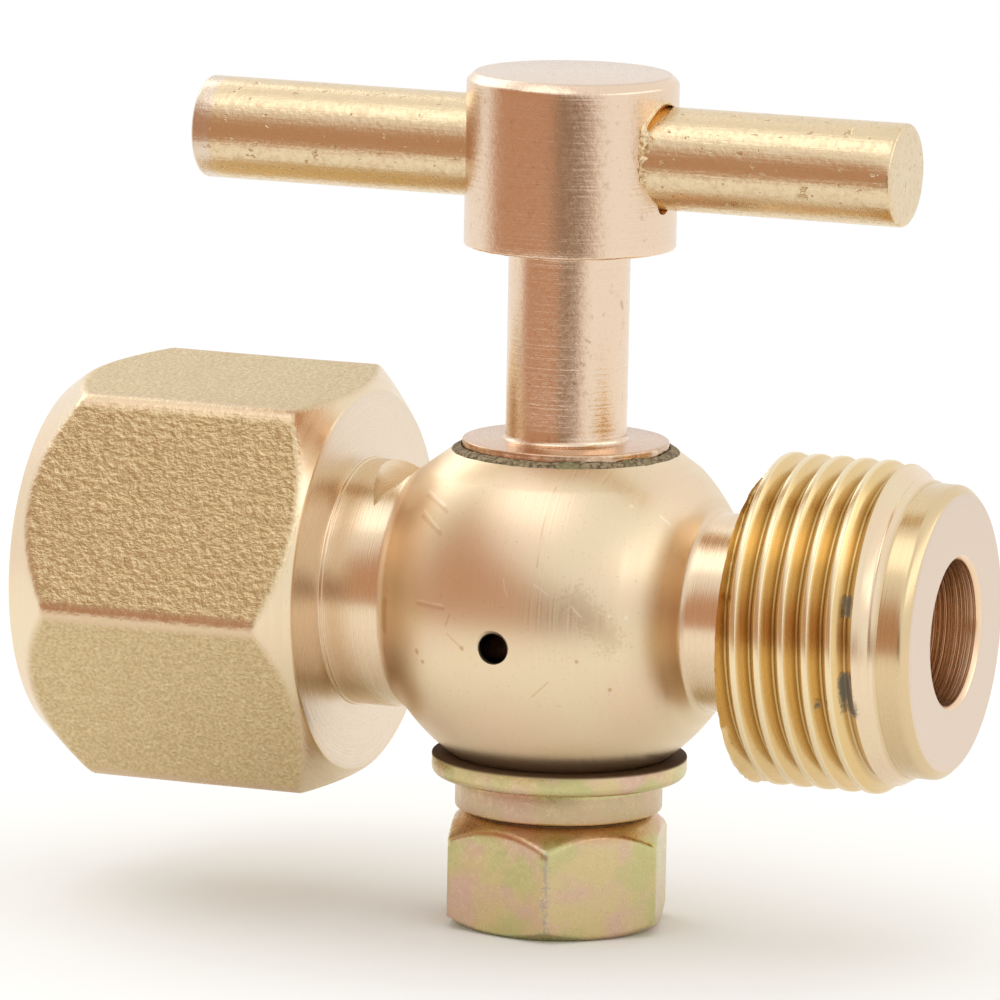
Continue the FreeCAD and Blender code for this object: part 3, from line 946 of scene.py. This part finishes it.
def zincPlate():
    tones = plateTones
    finish, where = startFinish("zincPlate")
    parts, radius = axisSplit(where, 0, 1, plugX)
    height = parts[2]
    patches = noiseAt(where, tones["patchGrain"])
    film = noiseAt(where, tones["filmGrain"])
    wear = noiseAt(where, *tones["wearGrain"])
    crumbs = noiseAt(where, tones["crumbGrain"])
    onSplit = band(height, *tones["splitAt"], 0.15)
    pinkShare = maths("ADD", ramp(patches, 0.40, 0.66), both(onSplit, tones["splitPink"]), True)
    greenShare = both(ramp(film, 0.47, 0.62),
                      maths("SUBTRACT", tones["greenShare"], both(onSplit, tones["splitGreen"])))
    # painted shade on the nut's top chamfer
    onSlope = both(band(height, *tones["slopeAt"], 0.5), ramp(radius, *tones["slopeOut"]))
    rubbed = markShare(where, plateMarks, raggedBy(crumbs, 0.62, 3.2))
    # painted shade in the gaps above the washer and the nut
    lowerGap = both(band(height, *tones["lowerGap"], 0.12), ramp(radius, *tones["lowerGapIn"], 1.0, 0.0))
    gaps = maths("MAXIMUM", ramp(height, *tones["upperGap"]), lowerGap)
    color = layered(tones["straw"], tones, (
        (pinkShare, "pink"), (greenShare, "green"), (both(onSplit, tones["splitShare"]), "split"),
        (ramp(wear, 0.64, 0.76, 0.0, tones["steelShare"]), "steel"),
        (both(onSlope, tones["paintedChamferShadeShare"]), "paintedChamferShade"), (both(rubbed, tones["bareShare"]), "bare"),
        (gaps, "paintedGapShade"),
    ))
    gloss = glossBy(wear, -0.05, 0.12, tones["gloss"])
    gloss = blendValue(gaps, gloss, tones["paintedShadeGloss"])
    metal = without(both(gaps, tones["paintedShadeDull"]))
    endFinish(color, gloss, wear, tones["bump"], metal, tones["specular"])
    return finish


plated = zincPlate()
washerSizes = {"bore": 4.2, "topEdge": 0.06, "rolledEdge": 0.5, "splitBore": 4.1, "splitEdge": 0.2,
               "gap": 0.9, "gapSlope": 20.0, "gapRun": (0.1, 0.9), "edge": 0.1, "steps": 160}


def buildWasher():
    s = washerSizes
    low, high = boxOf("thrust_washer")
    outer = halfWidth("thrust_washer")
    bm = turn([
        (s["bore"], low.z, s["edge"], 0),
        (outer, low.z, s["rolledEdge"], 0),
        (outer, high.z, s["topEdge"], 0),
        (s["bore"], high.z, s["edge"], 0),
    ], onPlug, plugLine, s["steps"], closed=True, segments=5)
    finishPiece(bm, "thrustWasher", "plug_group", plated, "thrust_washer")


def buildSplitWasher():
    s = washerSizes
    low, high = boxOf("spring_washer")
    outer = halfWidth("spring_washer")
    middle = middleHeight("spring_washer")
    halfGap = s["gap"] / 2 / outer
    bm = bmesh.new()
    rows = [
        (s["splitBore"], low.z, s["splitEdge"], 0),
        (outer, low.z, s["splitEdge"], 0),
        (outer, high.z, s["splitEdge"], 0),
        (s["splitBore"], high.z, s["splitEdge"], 0),
    ]
    corners, last = drawRun(bm, rows, onPlug)
    closeRun(bm, last)
    roundOff(bm, corners, 3)
    bmesh.ops.contextual_create(bm, geom=bm.edges[:])
    moveAll(bm, aboutPlug(pi / 2 + halfGap))
    bmesh.ops.spin(bm, geom=everything(bm), angle=2 * (pi - halfGap), steps=s["steps"], **plugLine)
    for vert in bm.verts:                       # slanted ends at the gap
        x = vert.co.x - plugX
        fromGap = abs(atan2(x, vert.co.y))
        slant = tan(radians(s["gapSlope"])) * (vert.co.z - middle) / hypot(x, vert.co.y)
        spot = Matrix.Rotation(-slant * (1 - smooth(*s["gapRun"], fromGap)), 2) @ Vector((x, vert.co.y))
        vert.co.xy = (plugX + spot.x, spot.y)
    weld(bm)
    finishPiece(bm, "splitWasher", "plug_group", plated, "spring_washer")


nutSizes = {"flats": 12.7, "corner": 0.5, "face": 5.95, "slope": 30.0, "topFace": 5.55, "topSlope": 42.0,
            "turn": 15.7, "bore": 4.05, "lead": 0.5, "softEdge": 0.16, "steps": 240, "crowding": 0.6}


def buildNut():
    s = nutSizes
    low, high = boxOf("tension_nut")
    corner = s["flats"] / sqrt(3)
    rise = (corner - s["face"]) * tan(radians(s["slope"]))
    drop = (corner - s["topFace"]) * tan(radians(s["topSlope"]))
    bm = turn([
        (s["bore"] + s["lead"], low.z, 0.05, 0),
        (s["face"], low.z, 0.1, 0),
        (corner, low.z + rise, 0, 8),
        (corner, high.z - drop, 0, 10),
        (s["topFace"], high.z, 0.1, 8),
        (s["bore"] + s["lead"], high.z, 0.05, 0),
        (s["bore"], high.z - s["lead"], 0.05, 0),
        (s["bore"], low.z + s["lead"], 0.05, 4),
    ], onPlug, plugLine, s["steps"], closed=True)
    for vert in bm.verts:
        x = vert.co.x - plugX
        radius = hypot(x, vert.co.y)
        if radius < s["topFace"] - 0.3:
            continue
        angle = atan2(vert.co.y, x) + pi / 2 - radians(s["turn"]) + pi / 6
        angle += s["crowding"] / 6 * sin(6 * angle)
        pressed = softMin(radius, hexRadius(angle, s["flats"], s["corner"]), s["softEdge"])[0]
        spot = angle - pi / 2 + radians(s["turn"]) - pi / 6
        vert.co.xy = (plugX + pressed * cos(spot), pressed * sin(spot))
    bmesh.ops.recalc_face_normals(bm, faces=bm.faces[:])
    finishPiece(bm, "tensionNut", "plug_group", plated, "tension_nut")


buildWasher()
buildSplitWasher()
buildNut()


# dried grease round the collar
greaseTones = {"dark": (0.10, 0.07, 0.04, 1), "pale": (0.40, 0.31, 0.19, 1), "green": (0.25, 0.23, 0.11, 1)}
greaseSizes = {"inside": 6.31, "outside": 6.98, "height": 0.3, "uneven": 0.04, "lumps": 0.08, "sink": 0.02,
               "drop": 0.12, "rise": 0.06, "edge": 0.1, "steps": 220}


def greaseFinish():
    finish, where = startFinish("driedGrease")
    crumbs = noiseAt(where, 3.4, 5.0, 0.7)
    tint = noiseAt(where, 0.6, 2.0)
    color = blendColor(ramp(crumbs, 0.38, 0.62), greaseTones["dark"], greaseTones["pale"])
    color = blendColor(ramp(tint, 0.5, 0.7, 0.0, 0.7), color, greaseTones["green"])
    endFinish(color, ramp(crumbs, 0.3, 0.7, 0.5, 0.85), crumbs, 0.12, 0.0, 0.15)
    return finish


def buildGrease():
    s = greaseSizes
    land = bodySizes["land"]
    edge = bodySizes["landEdge"]
    low = land - (s["outside"] - edge) - s["drop"]
    bm = turn([
        (s["inside"], land - s["sink"], 0, 0),
        (edge, land - s["sink"], 0, 1),
        (s["outside"], low, 0, 1),
        (edge, land + s["rise"], s["edge"], 2),
        (s["inside"], land + s["height"], s["edge"], 4),
    ], onPlug, plugLine, s["steps"], closed=True)
    for vert in bm.verts:
        out = Vector((vert.co.x - plugX, vert.co.y, 0))
        uneven = noise.noise(vert.co * 0.9) + 0.6 * noise.noise(vert.co * 2.7)
        reach = smooth(s["inside"] + 0.05, s["outside"], out.length)
        vert.co += out.normalized() * s["uneven"] * uneven * reach
        if vert.co.z > land + s["sink"]:
            vert.co.z += s["lumps"] * uneven * (1 - reach)
    finishPiece(bm, "greaseRing", "valve_body", greaseFinish())


# crumbled lip that the bar pushed up at its hole, thickest on the side with the vent
burrSizes = {"lip": 0.10, "crumbs": 0.26, "thin": 0.006, "sink": 0.03, "off": 0.03, "stand": 0.24, "steps": 260,
             "lipRise": (-20, 10), "lipFall": (64, 84), "crumbRise": (50, 62), "crumbFall": (104, 124)}


def burrFinish():
    finish, where = startFinish("burrBronze")
    crumbs = noiseAt(where, 4.0, 4.0, 0.65)
    color = blendColor(ramp(crumbs, 0.3, 0.55), plugTones["brown"], brassTones["crest"])
    endFinish(color, ramp(crumbs, 0.3, 0.7, 0.3, 0.45), crumbs, 0.05)
    return finish


def buildBurr():
    s = burrSizes
    hole = plugSizes["hole"]
    head = halfWidth("taper_plug")
    barZ = middleHeight("handle_bar")
    bm = bmesh.new()
    bmesh.ops.create_circle(bm, segments=10, radius=1.0)
    moveAll(bm, Matrix.Translation((0, 0, hole)) @ Matrix.Rotation(pi / 2, 4, "X"))
    spinRound(bm, pipeLine, s["steps"])
    weld(bm)
    for vert in bm.verts:
        out = Vector((0, vert.co.y, vert.co.z)).normalized()
        swell = vert.co - out * hole            # one long, round the ring's own line
        angle = degrees(atan2(-out.y, out.z))
        lip = hump(s["lipRise"], s["lipFall"], angle)
        crumbs = hump(s["crumbRise"], s["crumbFall"], angle)
        rough = max(0, 0.5 + 0.7 * noise.noise(out * 6.3) + 0.9 * noise.noise((out * hole + swell * 0.2) * 4.6))
        thick = s["thin"] + s["lip"] * lip * (0.7 + 0.3 * rough) + s["crumbs"] * crumbs * rough
        place = out * (hole + holeReach(out) + s["off"]) + swell * thick
        place.x += sqrt(head ** 2 - place.y ** 2) - s["sink"] + s["stand"] * crumbs * min(rough, 1)
        vert.co = place + Vector((plugX, 0, barZ))
    bmesh.ops.recalc_face_normals(bm, faces=bm.faces[:])
    finishPiece(bm, "holeBurr", "plug_group", burrFinish())


buildBurr()
buildGrease()
print("pieces built")


# floor, camera and light
stageSizes = {"floor": 900.0, "below": 0.02, "fade": (90.0, 320.0), "paper": (0.93, 0.93, 0.92, 1),
              "white": (1, 1, 1, 1)}


def seenShare():
    # 1 for the camera and for reflections
    path = put("LightPath").outputs
    seen = maths("ADD", path["Is Camera Ray"], path["Is Glossy Ray"], True)
    return maths("ADD", seen, path["Is Transmission Ray"], True)


def finishStage(finish, mesh, share, near, glow):
    # a glow laid over another shader, not sampled as a lamp
    glowing = put("Emission", {"Color": glow, "Strength": 1.0}).outputs[0]
    mixed = put("MixShader", {0: share, 1: near.outputs[0], 2: glowing}).outputs[0]
    put("OutputMaterial", {"Surface": mixed})
    finish.cycles.emission_sampling = "NONE"
    mesh.materials.append(finish)


def buildFloor():
    s = stageSizes
    bm = bmesh.new()
    bmesh.ops.create_circle(bm, cap_ends=True, segments=96, radius=s["floor"] * mm)
    bmesh.ops.translate(bm, vec=(plugX * mm, 0, cadBox[0].z - s["below"] * mm), verts=bm.verts[:])
    floor = addObject("floor", toMesh(bm, "floor"))
    finish, where = startFinish("paleFloor")
    radius = axisSplit(where, 0, 1, plugX)[1]
    share = both(ramp(radius, *s["fade"]), seenShare())
    paper = put("BsdfDiffuse", {"Color": s["paper"]})
    finishStage(finish, floor.data, share, paper, s["white"])


cameraPlace = {
    "at": (244.029, -544.684, 105.495), "towards": (27.839, -0.530, 5.766), "roll": 1.110,
    "lens": 353.217, "sensor": 36.0, "clip": (0.01, 50.0),
}


def buildCamera():
    s = cameraPlace
    camera = bpy.data.cameras.new("camera")
    camera.sensor_width = s["sensor"]
    camera.lens = s["lens"]
    camera.clip_start, camera.clip_end = s["clip"]
    holder = addObject("camera", camera)
    at = Vector(s["at"]) * mm
    look = (Vector(s["towards"]) * mm - at).to_track_quat("-Z", "Y").to_matrix()
    turned = look @ Matrix.Rotation(radians(s["roll"]), 3, "Z")
    holder.matrix_world = Matrix.Translation(at) @ turned.to_4x4()
    bpy.context.scene.camera = holder


lamps = {
    "key": {"azimuth": 96.0, "height": 28.0, "away": 600.0, "wide": 820.0, "high": 180.0, "watts": 0.4},
    "fill": {"azimuth": -118.0, "height": 38.0, "away": 650.0, "wide": 420.0, "high": 380.0, "watts": 0.55},
    "top": {"azimuth": -22.0, "height": 66.0, "away": 650.0, "wide": 480.0, "high": 300.0, "watts": 0.36},
}


def buildLamps():
    centre = Vector((plugX * mm, 0, 0))
    for name, s in lamps.items():
        light = bpy.data.lights.new(name, "AREA")
        light.shape = "RECTANGLE"
        light.size = s["wide"] * mm
        light.size_y = s["high"] * mm
        light.energy = s["watts"]
        holder = addObject(name, light)
        azimuth = radians(s["azimuth"])
        height = radians(s["height"])
        out = Vector((sin(azimuth) * cos(height), -cos(azimuth) * cos(height), sin(height)))
        holder.location = centre + out * s["away"] * mm
        holder.rotation_euler = out.to_track_quat("Z", "Y").to_euler()
        holder.visible_camera = False


worldTones = {"light": (1.0, 0.99, 0.975, 1), "level": 1.0}


def buildWorld():
    world = bpy.data.worlds.new("studio")
    bpy.context.scene.world = world
    useTree(world)
    plain = put("Background", {"Color": worldTones["light"], "Strength": worldTones["level"]}).outputs[0]
    white = put("Background", {"Color": stageSizes["white"], "Strength": 1.0}).outputs[0]
    mixed = put("MixShader", {0: seenShare(), 1: plain, 2: white}).outputs[0]
    put("OutputWorld", {"Surface": mixed})


# brown surroundings on the camera's side, met only by reflections
sweepSizes = {
    "above": 0.4, "near": 90.0, "nearSoft": 36.0, "far": 420.0, "bend": 120.0, "top": 520.0, "steps": 76,
    "brown": (0.56, 0.32, 0.205, 1), "dark": (0.32, 0.21, 0.145, 1), "from": -88.0, "to": 66.0, "soft": 26.0,
    "limit": 20.0, "limitFall": 0.49, "limitSoft": 9.0,     # degrees: its upper edge falls towards the right
    "darkFrom": 10.0, "darkTo": 36.0, "darkSoft": 12.0,
}


def buildSweep():
    s = sweepSizes
    bm = bmesh.new()
    floorZ = cadBox[0].z / mm + s["above"]
    bendAt = s["far"] - s["bend"]
    flatEnd = drawRun(bm, [(s["near"], floorZ, 0, 0), (bendAt, floorZ, 0, 24)], onPlug)[1]
    bendEnd = sweepArc(bm, flatEnd, onPlug(bendAt, floorZ + s["bend"]), -pi / 2, 16)
    drawRun(bm, [(s["far"], s["top"], 0, 36)], onPlug, bendEnd)
    # azimuth is counted from -Y towards +X
    moveAll(bm, aboutPlug(radians(s["from"] - 90)))
    bmesh.ops.spin(bm, geom=everything(bm), angle=radians(s["to"] - s["from"]), steps=s["steps"], **plugLine)
    brownShare = bm.verts.layers.float.new("brownShare")
    darkShare = bm.verts.layers.float.new("darkShare")
    for vert in bm.verts:
        x = vert.co.x - plugX
        radius = hypot(x, vert.co.y)
        angle = degrees(atan2(x, -vert.co.y))
        over = degrees(atan2(vert.co.z, radius)) - s["limit"] + s["limitFall"] * angle
        sides = hump((s["from"], s["from"] + s["soft"]), (s["to"] - s["soft"], s["to"]), angle)
        below = 1 - smooth(-s["limitSoft"], s["limitSoft"], over)
        vert[brownShare] = sides * below * smooth(s["near"], s["near"] + s["nearSoft"], radius)
        vert[darkShare] = hump((s["darkFrom"] - s["darkSoft"], s["darkFrom"]),
                               (s["darkTo"], s["darkTo"] + s["darkSoft"]), angle)
    clearFaces = [f for f in bm.faces if all(v[brownShare] == 0 for v in f.verts)]
    bmesh.ops.delete(bm, geom=clearFaces, context="FACES")
    bmesh.ops.scale(bm, vec=(mm, mm, mm), verts=bm.verts[:])
    sweep = addObject("brownSweep", toMesh(bm, "brownSweep"))
    finish, where = startFinish("brownRoom")
    tone = blendColor(attributeShare("darkShare"), s["brown"], s["dark"])
    clear = put("BsdfTransparent")
    finishStage(finish, sweep.data, attributeShare("brownShare"), clear, tone)
    sweep.visible_camera = False
    sweep.visible_diffuse = False
    sweep.visible_shadow = False


buildFloor()
buildCamera()
buildLamps()
buildWorld()
buildSweep()
bpy.context.scene.view_settings.view_transform = "Standard"
print("stage ready")
